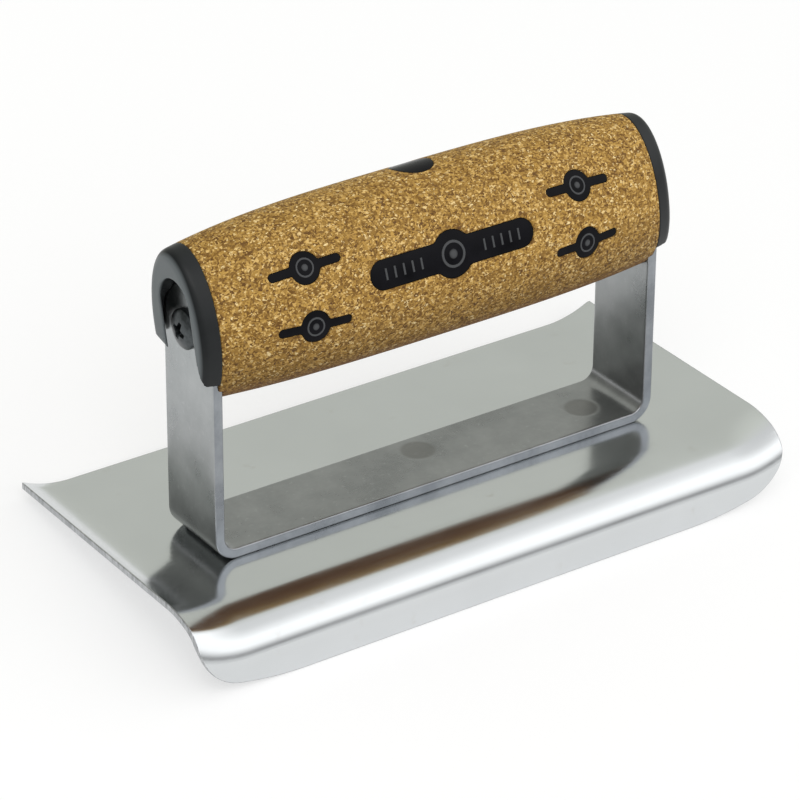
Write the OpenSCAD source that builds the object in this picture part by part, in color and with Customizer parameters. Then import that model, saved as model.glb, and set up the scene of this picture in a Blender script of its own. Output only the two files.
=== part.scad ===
// Concrete hand edger: a bent sheet-metal blade with an edging lip, a welded
// flat-bar bracket, and a cork-covered handle screwed between its uprights.
// X runs along the blade, the lip hangs on the -Y side, and +Z is up.
// The origin is on the blade's flat underside, below the middle of the handle.

/* [Blade] */
// Length of the blade along X
blade_len = 152.4; // [120:0.1:200]
// Thickness of the blade's sheet
blade_t = 1.5; // [1:0.1:2]
// Distance from the handle's middle plane to the far edge
back_reach = 39.2; // [30:0.1:60]
// Distance from the handle's middle plane to the lip's outer face
lip_reach = 34; // [28:0.1:50]
// Depth of the lip below the blade's underside
lip_drop = 13; // [10:0.5:20]
// Outer radius of the gentle first part of the bend between blade and lip
ease_r = 24; // [12:0.5:40]
// Angle that the gentle part turns through, in degrees
ease_angle = 20; // [5:1:30]
// Outer radius of the tighter rest of the bend
bend_r = 8.2; // [4:0.1:9]
// Half length of the flat part between the turned-up ends
flat_half = 64; // [40:0.5:66]
// Radius of the turned-up ends, on the top surface
turn_r = 26; // [20:1:40]
// Radius of the lip's lower corners
lip_corner_r = 12; // [8:0.5:14]
// Radius of the far corners in plan
far_corner_r = 0.8; // [0.5:0.1:6]

/* [Bracket] */
// Outer length of the bracket
bracket_len = 114.4; // [100:0.1:116]
// Width of the flat bar
bar_w = 19; // [16:0.1:24]
// Thickness of the flat bar
bar_t = 2.35; // [2:0.05:3]
// Outer radius of the bracket's bends
bracket_bend_r = 5.5; // [4:0.1:8]
// Height of the screw axis above the blade's underside
axis_z = 53.5; // [48:0.5:65]
// Diameter of each resistance-weld mark
weld_d = 8; // [5:0.5:10]

/* [Handle] */
// Height of the handle's own axis above the screw axis
handle_rise = 1.5; // [0:0.1:3]
// Roll of the handle about its own axis, in degrees
handle_roll = 13; // [0:1:15]
// Half length of the cork sleeve
cork_half = 56; // [55.5:0.1:56.5]
// Thickness of the cork
cork_t = 2.5; // [2:0.1:3]
// Half width of the handle at its middle
mid_half_w = 15.5; // [13:0.1:18]
// Half width of the handle at the ends of the cork
end_half_w = 10.8; // [10.6:0.1:13]
// Height of the crest above the handle's axis at the middle
mid_top = 19.1; // [17:0.1:22]
// Height of the crest above the handle's axis at the ends
end_top = 16.6; // [14:0.1:17]
// Depth of the underside below the handle's axis at the middle
mid_bottom = 18.2; // [16:0.1:20]
// Depth of the underside below the handle's axis at the ends
end_bottom = 17; // [15:0.1:18]
// Length of the rubber caps past the cork
cap_len = 4.6; // [3.6:0.1:5]
// Rounding of the caps' outer edge
cap_r = 2; // [1:0.1:3.2]

/* [Inlays] */
// Length of the long plaque
plaque_len = 41.5; // [30:0.5:50]
// Height of the long plaque
plaque_h = 6.5; // [5:0.1:8]
// Diameter of the plaque's round middle
plaque_disc_d = 10.4; // [8:0.1:13]
// Length of the small inlays' bar
inlay_len = 17; // [12:0.5:20]
// Height of the small inlays' bar
inlay_h = 2; // [1.5:0.1:3]
// Diameter of the small inlays' disc
inlay_disc_d = 7; // [5:0.1:9]
// Distance of the small inlays from the middle of the handle
inlay_x = 34.6; // [30:0.1:40]
// Length of the oval inlay on the crest
crest_len = 9.8; // [8:0.1:13]
// Width of the oval inlay on the crest
crest_w = 9.2; // [5:0.1:9.6]
// Depth of the inlays' faces below the cork's surface
inlay_set = 0.3; // [0.1:0.05:0.6]
// Depth of the crest inlay's face below the cork's surface
crest_set = 0.05; // [0:0.05:0.6]

/* [Fasteners] */
// Diameter of the screw's shank
screw_d = 4.8; // [4:0.1:5]
// Length of the screw below its head
screw_len = 16; // [12:0.5:18]
// Diameter of the screw's head
head_d = 8.8; // [8:0.1:10]
// Height of the screw's head
head_h = 2.5; // [1.5:0.1:2.6]
// Outer diameter of the threaded insert
insert_d = 7.4; // [7:0.1:9]
// Length of the threaded insert
insert_len = 14; // [10:0.5:16]

/* [Hidden] */
$fn = 64;

// Blade
blade_half = blade_len / 2;
lip_y = -lip_reach;
bend_y = lip_y + bend_r;
ease_z = blade_t - ease_r;
bend_z = ease_z + (ease_r - bend_r) * cos(ease_angle);
ease_y = bend_y + (ease_r - bend_r) * sin(ease_angle);
turn_axis_z = blade_t + turn_r;
turn_angle = 36;
lip_flat_half = 50;
lip_sweep_r = 80;
corner_x = blade_half - lip_corner_r;
sweep_span = lip_sweep_r - lip_corner_r;
corner_run = corner_x - lip_flat_half;
corner_fall = sqrt(pow(sweep_span, 2) - pow(corner_run, 2));
corner_z = lip_sweep_r - lip_drop - corner_fall;
sweep_end_x = lip_flat_half + corner_run * lip_sweep_r / sweep_span;
sweep_end_z = lip_sweep_r - lip_drop - corner_fall * lip_sweep_r / sweep_span;
trim_top = 30;
over = 1; // overrun of a cutting solid past what it cuts

// Bracket
bracket_half = bracket_len / 2;
upright_in = bracket_half - bar_t;
arch_r = bar_w / 2;
bolt_clear = 0.25;
weld_places = [[3.2, 3.8], [44.4, -0.7]];
weld_dimple = 0.12;

// Handle
widest_z = -1;
top_power = 2;
bottom_power = 2.2;
barrel_power = 3.2;
ring_n = 48;
ring_gap = 0.02;
slot_gap = 0.12;
core_half = upright_in - 0.1;
cap_end = cork_half + cap_len;
cap_plate_t = 0.7;
cavity_inset = 0.5; // the room in front of the upright is this much narrower on each side
window_y = -1.3;
window_half_w = 5.9;
window_arch_z = 4.4;
leg_near_z = 44.7;
leg_far_z = 49.2;
leg_angle = atan((leg_far_z - leg_near_z) / bar_w);

// Inlays: angle above the handle's own horizontal plane, seen along X
plaque_angle = 8.5;
upper_angle = 32.5;
lower_angle = -18;
crest_angle = 90;
crest_x = 1;
shift_x = -0.7; // offset of the side faces' inlays from the handle's middle
inlay_gap = 0.05;
prism_in = 5;
prism_out = 26;

// Fasteners
head_rim_h = 1.3;
recess_w = 1.1;
recess_len = 4.6;
recess_depth = 1.5;
insert_bore_gap = 0.05;

// ---- Blade ----

// Part of the sheet bent at an outer radius r between two angles from the vertical
module bent_strip(r, from, to) {
    intersection() {
        difference() {
            circle(r = r, $fn = 128);
            circle(r = r - blade_t, $fn = 128);
        }
        polygon([[0, 0], for (a = [from, to]) 2 * r * [-sin(a), cos(a)]]);
    }
}

// Section of the sheet: flat top, two-stage bend and hanging lip, as (Y, Z)
module blade_section() {
    translate([ease_y, 0]) square([back_reach - ease_y, blade_t]);
    translate([ease_y, ease_z]) bent_strip(ease_r, 0, ease_angle);
    translate([bend_y, bend_z]) bent_strip(bend_r, ease_angle, 90);
    translate([lip_y, -lip_drop - over]) square([blade_t, lip_drop + over + bend_z]);
}

// One turned-up end, swept about a line along Y
module turned_end() {
    translate([-flat_half, 0, turn_axis_z])
        rotate([0, 90, 90])
            rotate_extrude(angle = turn_angle, $fn = 96)
                translate([turn_axis_z, 0]) rotate(90) blade_section();
}

// Front outline of the sheet with the lip's rounded lower corners, as (X, Z)
module lip_outline() {
    translate([-blade_half, corner_z]) square([blade_len, trim_top - corner_z]);
    translate([-lip_flat_half, -lip_drop]) square([2 * lip_flat_half, lip_drop + trim_top]);
    for (side = [-1, 1]) scale([side, 1]) {
        translate([corner_x, corner_z]) circle(r = lip_corner_r);
        intersection() {
            translate([lip_flat_half, lip_sweep_r - lip_drop]) circle(r = lip_sweep_r, $fn = 180);
            translate([lip_flat_half - over, -lip_drop - over])
                square([sweep_end_x - lip_flat_half + over, sweep_end_z + lip_drop + over]);
        }
        translate([lip_flat_half - over, sweep_end_z])
            square([corner_x - lip_flat_half + over, trim_top - sweep_end_z]);
    }
}

// Plan outline of the blade with its rounded far corners, as (X, Y)
module plan_outline() {
    translate([-blade_half, lip_y - over])
        square([blade_len, back_reach - far_corner_r - lip_y + over]);
    translate([-blade_half + far_corner_r, lip_y - over])
        square([blade_len - 2 * far_corner_r, back_reach - lip_y + over]);
    for (side = [-1, 1])
        translate([side * (blade_half - far_corner_r), back_reach - far_corner_r])
            circle(r = far_corner_r);
}

module blade() {
    color("silver") intersection() {
        union() {
            translate([-flat_half, 0, 0]) rotate([90, 0, 90])
                linear_extrude(2 * flat_half) blade_section();
            turned_end();
            mirror([1, 0, 0]) turned_end();
        }
        translate([0, back_reach + over, 0]) rotate([90, 0, 0])
            linear_extrude(back_reach + lip_reach + 2 * over) lip_outline();
        translate([0, 0, -lip_drop - over]) linear_extrude(trim_top + lip_drop)
            plan_outline();
    }
}

// ---- Bracket ----

// Side view of the bent bar, as (X, Z)
module bracket_outline() {
    bend_in = bracket_bend_r - bar_t;
    bend_x = bracket_half - bracket_bend_r;
    top = axis_z + arch_r;
    translate([-bend_x, blade_t]) square([2 * bend_x, bar_t]);
    for (side = [-1, 1]) scale([side, 1]) {
        translate([upright_in, blade_t + bracket_bend_r])
            square([bar_t, top - blade_t - bracket_bend_r]);
        translate([bend_x, blade_t + bracket_bend_r]) intersection() {
            difference() {
                circle(r = bracket_bend_r);
                circle(r = bend_in);
            }
            translate([0, -bracket_bend_r]) square(bracket_bend_r);
        }
    }
}

// End view of the bar, grown by a gap: straight sides and a round top, as (Y, Z)
module upright_outline(gap) {
    translate([-arch_r - gap, 0]) square([bar_w + 2 * gap, axis_z]);
    translate([0, axis_z]) circle(r = arch_r + gap);
}

module bracket() {
    color("darkgray") difference() {
        intersection() {
            translate([0, arch_r, 0]) rotate([90, 0, 0]) linear_extrude(bar_w)
                bracket_outline();
            translate([-bracket_half, 0, 0]) rotate([90, 0, 90])
                linear_extrude(bracket_len) upright_outline(0);
        }
        translate([-bracket_half - over, 0, axis_z]) rotate([0, 90, 0])
            cylinder(d = screw_d + 2 * bolt_clear, h = bracket_len + 2 * over);
        for (place = weld_places)
            translate([place[0], place[1], blade_t + bar_t - weld_dimple])
                cylinder(d = weld_d, h = over);
    }
}

// ---- Handle ----

// The handle's own frame: X along the screws, rolled about the handle's axis
module in_handle() {
    translate([0, 0, axis_z + handle_rise]) rotate([-handle_roll, 0, 0]) children();
}

function signed_power(v, p) = sign(v) * pow(abs(v), p);
function swell(x, middle, end) = middle + (end - middle) * pow(abs(x) / cork_half, barrel_power);

// One ring of the egg-shaped section at x, drawn in by inset
function egg_ring(x, inset) =
    let (
        w = swell(x, mid_half_w, end_half_w) - inset,
        t = swell(x, mid_top, end_top) - inset - widest_z,
        b = swell(x, mid_bottom, end_bottom) - inset + widest_z
    )
    [for (i = [0:ring_n - 1])
        let (
            a = 360 * i / ring_n,
            up = sin(a) >= 0,
            p = 2 / (up ? top_power : bottom_power)
        )
        [x, w * signed_power(cos(a), p), widest_z + (up ? t : b) * signed_power(sin(a), p)]];

// Closed solid through rings given as [x, inset], in order of rising x
module loft(rings) {
    n = len(rings);
    points = [for (r = rings) each egg_ring(r[0], r[1])];
    sides = [for (k = [0:n - 2], i = [0:ring_n - 1])
        let (j = (i + 1) % ring_n, a = k * ring_n, b = a + ring_n)
        [a + i, b + i, b + j, a + j]];
    first = [for (i = [0:ring_n - 1]) i];
    last = [for (i = [0:ring_n - 1]) n * ring_n - 1 - i];
    polyhedron(points, concat([first], sides, [last]), convexity = 4);
}

// The barrel between -half and half, drawn in by inset
module barrel(half, inset) {
    steps = 16;
    loft([for (k = [0:steps]) [half * (2 * k / steps - 1), inset]]);
}

// Window through the cork or the inlay that fills it, at an angle round the handle
module window_prism(x, angle, length, height, disc_d, gap) {
    end_x = (length - height) / 2;
    translate([x, 0, 0]) rotate([-angle, 0, 0]) translate([0, -prism_in, 0]) rotate([90, 0, 0])
        linear_extrude(prism_out - prism_in) {
            translate([-end_x, -height / 2 + gap]) square([2 * end_x, height - 2 * gap]);
            for (side = [-1, 1])
                translate([side * end_x, 0]) circle(d = height - 2 * gap, $fn = 24);
            circle(d = disc_d - 2 * gap, $fn = 40);
        }
}

module plaque_prism(gap) {
    window_prism(shift_x, plaque_angle, plaque_len, plaque_h, plaque_disc_d, gap);
}

module small_prism(side, angle, gap) {
    window_prism(shift_x + side * inlay_x, angle, inlay_len, inlay_h, inlay_disc_d, gap);
}

module crest_prism(gap) {
    window_prism(crest_x, crest_angle, crest_len, crest_w, crest_w, gap);
}

// All the windows of one face of the handle
module face_windows() {
    plaque_prism(0);
    for (side = [-1, 1], angle = [lower_angle, upper_angle])
        small_prism(side, angle, 0);
}

// An inlay: the part of its prism between the core and just under the cork's surface
module inlay(set = inlay_set) {
    color("#141416") in_handle() difference() {
        intersection() {
            children();
            barrel(cork_half, set);
        }
        barrel(cork_half + over, cork_t - ring_gap);
    }
}

// A space with the upright's outline grown by a gap, from x0 outwards for a length of run
module upright_slot(x0, run, gap = slot_gap) {
    translate([x0, 0, 0]) rotate([90, 0, 90]) linear_extrude(run) upright_outline(gap);
}

module handle_core() {
    bore_d = insert_d + ring_gap;
    bore_run = 3;
    color("#202022") difference() {
        in_handle() barrel(core_half, cork_t);
        for (side = [-1, 1]) scale([side, 1, 1])
            translate([core_half - insert_len - bore_run, 0, axis_z]) rotate([0, 90, 0])
                cylinder(d = bore_d, h = insert_len + bore_run + over);
    }
}

module cork_sleeve() {
    notch_run = 3;
    color("#a8803f") difference() {
        in_handle() difference() {
            barrel(cork_half, 0);
            barrel(cork_half + over, cork_t);
            face_windows();
            mirror([0, 1, 0]) face_windows();
            crest_prism(0);
        }
        upright_slot(core_half, notch_run);
        upright_slot(-core_half - notch_run, notch_run);
    }
}

// Half-space below the caps' legs, which end higher on the far side
module leg_cut() {
    reach = 30;
    translate([0, 0, (leg_near_z + leg_far_z) / 2]) rotate([leg_angle, 0, 0])
        translate([cork_half - over, -reach, -reach])
            cube([cap_len + 2 * over, 2 * reach, reach]);
}

// The right-hand cap: a shell with a pocket for the upright behind a thin end plate,
// and a window in the plate onto the screw
module cap() {
    start = cap_end - cap_r;
    arc_n = 6;
    window_from = bracket_half - 0.5;
    window_run = cap_end - window_from + over;
    window_drop = 40;
    color("#3a3d40") difference() {
        in_handle() difference() {
            loft(concat([[cork_half, 0], [(cork_half + start) / 2, 0], [start, 0]],
                [for (k = [1:arc_n])
                    let (a = 90 * k / arc_n)
                    [start + cap_r * sin(a), cap_r * (1 - cos(a))]]));
            translate([window_from, window_y, window_arch_z]) rotate([0, 90, 0])
                cylinder(r = window_half_w, h = window_run);
            translate([window_from, window_y - window_half_w, window_arch_z - window_drop])
                cube([window_run, 2 * window_half_w, window_drop]);
        }
        upright_slot(upright_in - over, bar_t + over + slot_gap);
        upright_slot(bracket_half, cap_end - cap_plate_t - bracket_half, -cavity_inset);
        leg_cut();
    }
}

module plaque() {
    inlay() plaque_prism(inlay_gap);
}

// ---- Fasteners ----

// The right-hand screw, its head seated on the upright's outer face
module screw() {
    dome_r = (pow(head_d / 2, 2) + pow(head_h - head_rim_h, 2)) / (2 * (head_h - head_rim_h));
    color("#34373a") translate([bracket_half, 0, axis_z]) rotate([0, 90, 0]) difference() {
        union() {
            translate([0, 0, -screw_len]) cylinder(d = screw_d, h = screw_len + head_rim_h / 2);
            intersection() {
                cylinder(d = head_d, h = head_h);
                translate([0, 0, head_h - dome_r]) sphere(r = dome_r, $fn = 96);
            }
        }
        for (turn = [0, 90]) rotate(turn)
            translate([-recess_len / 2, -recess_w / 2, head_h - recess_depth])
                cube([recess_len, recess_w, recess_depth + over]);
    }
}

// The right-hand threaded insert, flush with the core's end
module insert() {
    color("#b8963c") translate([core_half - insert_len, 0, axis_z]) rotate([0, 90, 0])
        difference() {
            cylinder(d = insert_d, h = insert_len);
            translate([0, 0, -over])
                cylinder(d = screw_d + 2 * insert_bore_gap, h = insert_len + 2 * over);
        }
}

blade();
bracket();
handle_core();
cork_sleeve();
mirror([1, 0, 0]) cap();  // cap_left
cap();  // cap_right
mirror([1, 0, 0]) screw();  // screw_left
screw();  // screw_right
mirror([1, 0, 0]) insert();  // insert_left
insert();  // insert_right
plaque();  // plaque_front
inlay() mirror([0, 1, 0]) plaque_prism(inlay_gap);  // plaque_back
inlay(crest_set) crest_prism(inlay_gap);  // inlay_top
inlay() small_prism(-1, upper_angle, inlay_gap);  // inlay_front_upper_left
inlay() small_prism(-1, lower_angle, inlay_gap);  // inlay_front_lower_left
inlay() small_prism(1, upper_angle, inlay_gap);  // inlay_front_upper_right
inlay() small_prism(1, lower_angle, inlay_gap);  // inlay_front_lower_right
inlay() mirror([0, 1, 0]) small_prism(-1, upper_angle, inlay_gap);  // inlay_back_upper_left
inlay() mirror([0, 1, 0]) small_prism(-1, lower_angle, inlay_gap);  // inlay_back_lower_left
inlay() mirror([0, 1, 0]) small_prism(1, upper_angle, inlay_gap);  // inlay_back_upper_right
inlay() mirror([0, 1, 0]) small_prism(1, lower_angle, inlay_gap);  // inlay_back_lower_right
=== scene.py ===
"""Looks of a concrete hand edger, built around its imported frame.

Lengths are in metres, in the part's frame: X runs along the blade, the lip hangs on -Y, +Z is up.
The fine meshes follow the same dimensions as the frame and add rounded edges, reliefs and threads.
"""

import math

import bmesh
import bpy
import numpy as np
from mathutils import Matrix, Quaternion, Vector
from mathutils.geometry import delaunay_2d_cdt
from mathutils.kdtree import KDTree


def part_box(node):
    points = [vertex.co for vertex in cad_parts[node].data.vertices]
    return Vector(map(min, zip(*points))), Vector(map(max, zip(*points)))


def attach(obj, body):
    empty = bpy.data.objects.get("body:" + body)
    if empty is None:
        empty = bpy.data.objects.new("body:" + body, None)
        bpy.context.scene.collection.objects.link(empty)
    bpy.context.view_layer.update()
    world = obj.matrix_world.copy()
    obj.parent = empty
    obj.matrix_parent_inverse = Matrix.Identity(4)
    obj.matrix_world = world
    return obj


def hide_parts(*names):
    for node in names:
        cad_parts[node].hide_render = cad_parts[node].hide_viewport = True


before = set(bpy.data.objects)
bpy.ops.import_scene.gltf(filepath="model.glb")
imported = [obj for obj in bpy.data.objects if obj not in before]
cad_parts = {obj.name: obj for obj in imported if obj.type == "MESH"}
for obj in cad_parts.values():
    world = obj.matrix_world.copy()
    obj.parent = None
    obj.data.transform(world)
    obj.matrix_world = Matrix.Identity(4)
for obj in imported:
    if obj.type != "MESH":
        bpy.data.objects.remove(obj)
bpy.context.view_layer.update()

MM = 0.001
QUARTER = math.pi / 2
TURN = 2 * math.pi

# ---- Sizes read from the frame ----

blade_low, blade_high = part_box("blade")
bracket_low, bracket_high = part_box("bracket")
cork_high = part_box("cork_sleeve")[1]
cap_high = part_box("cap_right")[1]
screw_low, screw_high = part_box("screw_right")

SHEET_T = bracket_low.z
BLADE_HALF = blade_high.x
FAR_Y = blade_high.y
LIP_Y = blade_low.y
LIP_BOTTOM = blade_low.z
BRACKET_HALF = bracket_high.x
BAR_HALF_W = bracket_high.y
AXIS_Z = (screw_low.z + screw_high.z) / 2
HEAD_R = (screw_high.z - screw_low.z) / 2
HEAD_H = screw_high.x - BRACKET_HALF
SCREW_LEN = BRACKET_HALF - screw_low.x
CORK_HALF = cork_high.x
CAP_END = cap_high.x

# ---- Sizes of the design ----

BEND_R = 8.2 * MM
EASE_R = 24 * MM
EASE_ANGLE = math.radians(20)
FLAT_HALF = 64 * MM
TURN_R = 26 * MM
LIP_FLAT_HALF = 50 * MM
LIP_SWEEP_R = 80 * MM
LIP_CORNER_R = 12 * MM
FAR_CORNER_R = 0.8 * MM
SHEET_EDGE_R = 0.3 * MM

BAR_T = 2.35 * MM
BAR_EDGE_R = 0.45 * MM
BRACKET_BEND_R = 5.5 * MM
BOLT_HOLE_R = 2.65 * MM
WELD_PLACES = ((3.2 * MM, 3.8 * MM), (44.4 * MM, -0.7 * MM))
WELD_R = 4 * MM
WELD_DEPTH = 0.1 * MM

HANDLE_Z = AXIS_Z + 1.5 * MM
ROLL = math.radians(13)
CORK_T = 2.5 * MM
WIDEST_Z = -1 * MM
# Each pair: at the handle's middle, and at the ends of the cork
HALF_WIDTH = (15.5 * MM, 10.8 * MM)
TOP = (19.07 * MM, 16.57 * MM)
BOTTOM = (18.2 * MM, 17 * MM)
TOP_POWER = 2
BOTTOM_POWER = 2.2
BARREL_POWER = 3.2
CAP_R = 2 * MM
CAP_PLATE_T = 0.7 * MM
CAVITY_INSET = 0.5 * MM
SLOT_GAP = 0.12 * MM
CAP_WINDOW_Y = -1.3 * MM
CAP_WINDOW_HALF_W = 5.9 * MM
CAP_WINDOW_Z = 4.4 * MM
LEG_NEAR_Z = 44.7 * MM
LEG_FAR_Z = 49.2 * MM
LEG_CORNER_R = 2 * MM

INLAY_SET = 0.3 * MM
CREST_SET = 0.05 * MM
INLAY_GAP = 0.05 * MM
INLAY_EDGE = 0.12 * MM
WINDOW_EDGE = 0.22 * MM
SMALL_X = 34.6 * MM
PLAQUE_TILT = math.radians(8.5)
UPPER_TILT = math.radians(32.5)
LOWER_TILT = math.radians(-18)
CREST_X = 1 * MM
SHIFT_X = -0.7 * MM


# ---- Mesh helpers ----

def new_piece(name, points, faces):
    """An object with this mesh, its double points merged, every face smooth and turned outwards."""
    same = 1e-7
    mesh = bpy.data.meshes.new(name)
    mesh.from_pydata([tuple(p) for p in points], [], [tuple(int(i) for i in f) for f in faces])
    piece = bpy.data.objects.new(name, mesh)
    bpy.context.scene.collection.objects.link(piece)
    work = bmesh.new()
    work.from_mesh(mesh)
    bmesh.ops.remove_doubles(work, verts=work.verts, dist=same)
    bmesh.ops.recalc_face_normals(work, faces=work.faces)
    for face in work.faces:
        face.smooth = True
    work.to_mesh(mesh)
    work.free()
    return piece


def grid_faces(rows, columns, wrap_rows=False, wrap_columns=False):
    """Quads between the points of a grid that runs row by row."""
    return [
        (
            r * columns + c,
            r * columns + (c + 1) % columns,
            (r + 1) % rows * columns + (c + 1) % columns,
            (r + 1) % rows * columns + c,
        )
        for r in range(rows if wrap_rows else rows - 1)
        for c in range(columns if wrap_columns else columns - 1)
    ]


def mark_sharp(piece, degrees):
    """Makes the shading break at edges that turn by more than this angle."""
    work = bmesh.new()
    work.from_mesh(piece.data)
    limit = math.radians(degrees)
    for face in work.faces:
        face.smooth = True
    for edge in work.edges:
        edge.smooth = len(edge.link_faces) == 2 and edge.calc_face_angle(0) < limit
    work.to_mesh(piece.data)
    work.free()


def apply_modifiers(piece):
    """Turns the piece's modifiers into plain mesh."""
    made = piece.evaluated_get(bpy.context.evaluated_depsgraph_get())
    mesh = bpy.data.meshes.new_from_object(made)
    piece.modifiers.clear()
    piece.data = mesh


def cut(piece, cutters):
    """Takes the cutters out of the piece and removes them."""
    for cutter in cutters:
        step = piece.modifiers.new("cut", "BOOLEAN")
        step.operation = "DIFFERENCE"
        step.solver = "EXACT"
        step.object = cutter
    apply_modifiers(piece)
    for cutter in cutters:
        bpy.data.objects.remove(cutter)


def prism(name, outline, start, end):
    """A straight prism from each outline point moved by start to the same point moved by end."""
    count = len(outline)
    points = [Vector(p) + Vector(start) for p in outline] + [Vector(p) + Vector(end) for p in outline]
    faces = grid_faces(2, count, wrap_columns=True)
    return new_piece(name, points, faces + [range(count), range(2 * count - 1, count - 1, -1)])


def arc(centre, radius, start, end, steps):
    """Points of an arc as complex numbers, angles in radians."""
    return centre + radius * np.exp(1j * np.linspace(start, end, steps + 1))


def set_float(piece, name, values):
    """Stores one number per point, for the material to read."""
    layer = piece.data.attributes.new(name, "FLOAT", "POINT")
    layer.data.foreach_set("value", np.asarray(values, np.float32))


def smoothstep(low, high, value):
    """0 below low, 1 above high, and a smooth rise between them."""
    share = np.clip((value - low) / (high - low), 0, 1)
    return share * share * (3 - 2 * share)


# ---- Blade ----

EASE_Z = SHEET_T - EASE_R
BEND_Y = LIP_Y + BEND_R
BEND_Z = EASE_Z + (EASE_R - BEND_R) * math.cos(EASE_ANGLE)
EASE_Y = BEND_Y + (EASE_R - BEND_R) * math.sin(EASE_ANGLE)
TURN_AXIS_Z = SHEET_T + TURN_R
CORNER_X = BLADE_HALF - LIP_CORNER_R
SWEEP_SPAN = LIP_SWEEP_R - LIP_CORNER_R
CORNER_RUN = CORNER_X - LIP_FLAT_HALF
CORNER_Z = LIP_SWEEP_R + LIP_BOTTOM - math.sqrt(SWEEP_SPAN**2 - CORNER_RUN**2)
SWEEP_END_X = LIP_FLAT_HALF + CORNER_RUN * LIP_SWEEP_R / SWEEP_SPAN


def lip_edge(x):
    """Height of the lip's lower edge at a distance x from the middle."""
    if x <= LIP_FLAT_HALF:
        return LIP_BOTTOM
    if x <= SWEEP_END_X:
        return LIP_SWEEP_R + LIP_BOTTOM - math.sqrt(LIP_SWEEP_R**2 - (x - LIP_FLAT_HALF) ** 2)
    return CORNER_Z - math.sqrt(max(0.0, LIP_CORNER_R**2 - (x - CORNER_X) ** 2))


def far_edge(x):
    """Y of the blade's far edge at a distance x from the middle."""
    past = max(0.0, x - (BLADE_HALF - FAR_CORNER_R))
    return FAR_Y - FAR_CORNER_R + math.sqrt(max(0.0, FAR_CORNER_R**2 - past**2))


def turned_up(x, z):
    """Height, on the turned-up ends, of what lies at height z on the flat part."""
    past = np.maximum(0.0, abs(x) - FLAT_HALF)
    return TURN_AXIS_Z - np.sqrt((TURN_AXIS_Z - z) ** 2 - past**2)


def bend_path(run, depth):
    """(Y, Z) after a run along the gentle bend, the tight bend and the lip."""
    ease_r, bend_r = EASE_R - depth, BEND_R - depth
    ease_run = ease_r * EASE_ANGLE
    bend_run = bend_r * (QUARTER - EASE_ANGLE)
    angle = np.minimum(run / ease_r, EASE_ANGLE)
    angle = angle + np.clip((run - ease_run) / bend_r, 0, QUARTER - EASE_ANGLE)
    tight = run > ease_run
    radius = np.where(tight, bend_r, ease_r)
    y = np.where(tight, BEND_Y, EASE_Y) - radius * np.sin(angle)
    z = np.where(tight, BEND_Z, EASE_Z) + radius * np.cos(angle)
    return y, z - np.maximum(0.0, run - ease_run - bend_run)


def blade_columns():
    """Places of the columns of points along X, as shares of the blade's half length."""
    flat = np.linspace(0, LIP_FLAT_HALF, 26)
    sweep = np.linspace(LIP_FLAT_HALF, CORNER_X, 15)[1:]
    corner = CORNER_X + LIP_CORNER_R * np.sin(np.linspace(0, QUARTER, 25)[1:])
    half = np.concatenate([flat, sweep, corner]) / BLADE_HALF
    return np.concatenate([-half[:0:-1], half])


def blade_layer(depth, inset):
    """Points of the sheet at a depth below its outer face, with its outline drawn in by inset."""
    flat_steps, bend_steps, samples = 28, 60, 500
    run = np.linspace(0, 2 * (EASE_Y - LIP_Y), samples)
    run_z = bend_path(run, depth)[1]
    points = []
    for x in blade_columns() * (BLADE_HALF - inset):
        far = far_edge(abs(x)) - inset
        end = np.interp(-lip_edge(abs(x)), -turned_up(x, run_z), run) - inset
        bend_y, bend_z = bend_path(np.linspace(0, end, bend_steps + 1), depth)
        y = np.concatenate([np.linspace(far, EASE_Y, flat_steps, endpoint=False), bend_y])
        z = np.concatenate([np.full(flat_steps, SHEET_T - depth), bend_z])
        points.append(np.stack([np.full(len(y), x), y, turned_up(x, z)], axis=1))
    return np.array(points)


def edge_profile(thickness, radius, steps):
    """(depth, inset) pairs round the rounded edge of a sheet, from its outer to its inner face."""
    angles = np.linspace(0, QUARTER, steps + 1)
    first = [(radius * (1 - math.cos(a)), radius * (1 - math.sin(a))) for a in angles]
    return first + [(thickness - depth, inset) for depth, inset in reversed(first)]


def build_blade():
    """The bent sheet with its lip, turned-up ends and rounded edges."""
    layers = [blade_layer(*pair) for pair in edge_profile(SHEET_T, SHEET_EDGE_R, 4)]
    columns, rows = layers[0].shape[:2]
    rim = (
        [(c, 0) for c in range(columns)]
        + [(columns - 1, r) for r in range(1, rows)]
        + [(c, rows - 1) for c in range(columns - 2, -1, -1)]
        + [(0, r) for r in range(rows - 2, 0, -1)]
    )
    face = grid_faces(columns, rows)
    points = [*layers[0].reshape(-1, 3), *layers[-1].reshape(-1, 3)]
    size = columns * rows
    faces = face + [tuple(size + i for i in f) for f in face]
    rim_index = [[c * rows + r for c, r in rim]]
    for layer in layers[1:-1]:
        rim_index.append(list(range(len(points), len(points) + len(rim))))
        points += [layer[c, r] for c, r in rim]
    rim_index.append([size + c * rows + r for c, r in rim])
    for upper, lower in zip(rim_index, rim_index[1:]):
        for i in range(len(rim)):
            j = (i + 1) % len(rim)
            faces.append((upper[i], upper[j], lower[j], lower[i]))
    piece = new_piece("blade_sheet", points, faces)
    near_rim = np.zeros(len(points))
    near_rim[2 * size:] = 1
    set_float(piece, "cut_edge", near_rim)
    return piece


# ---- Bracket ----

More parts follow.
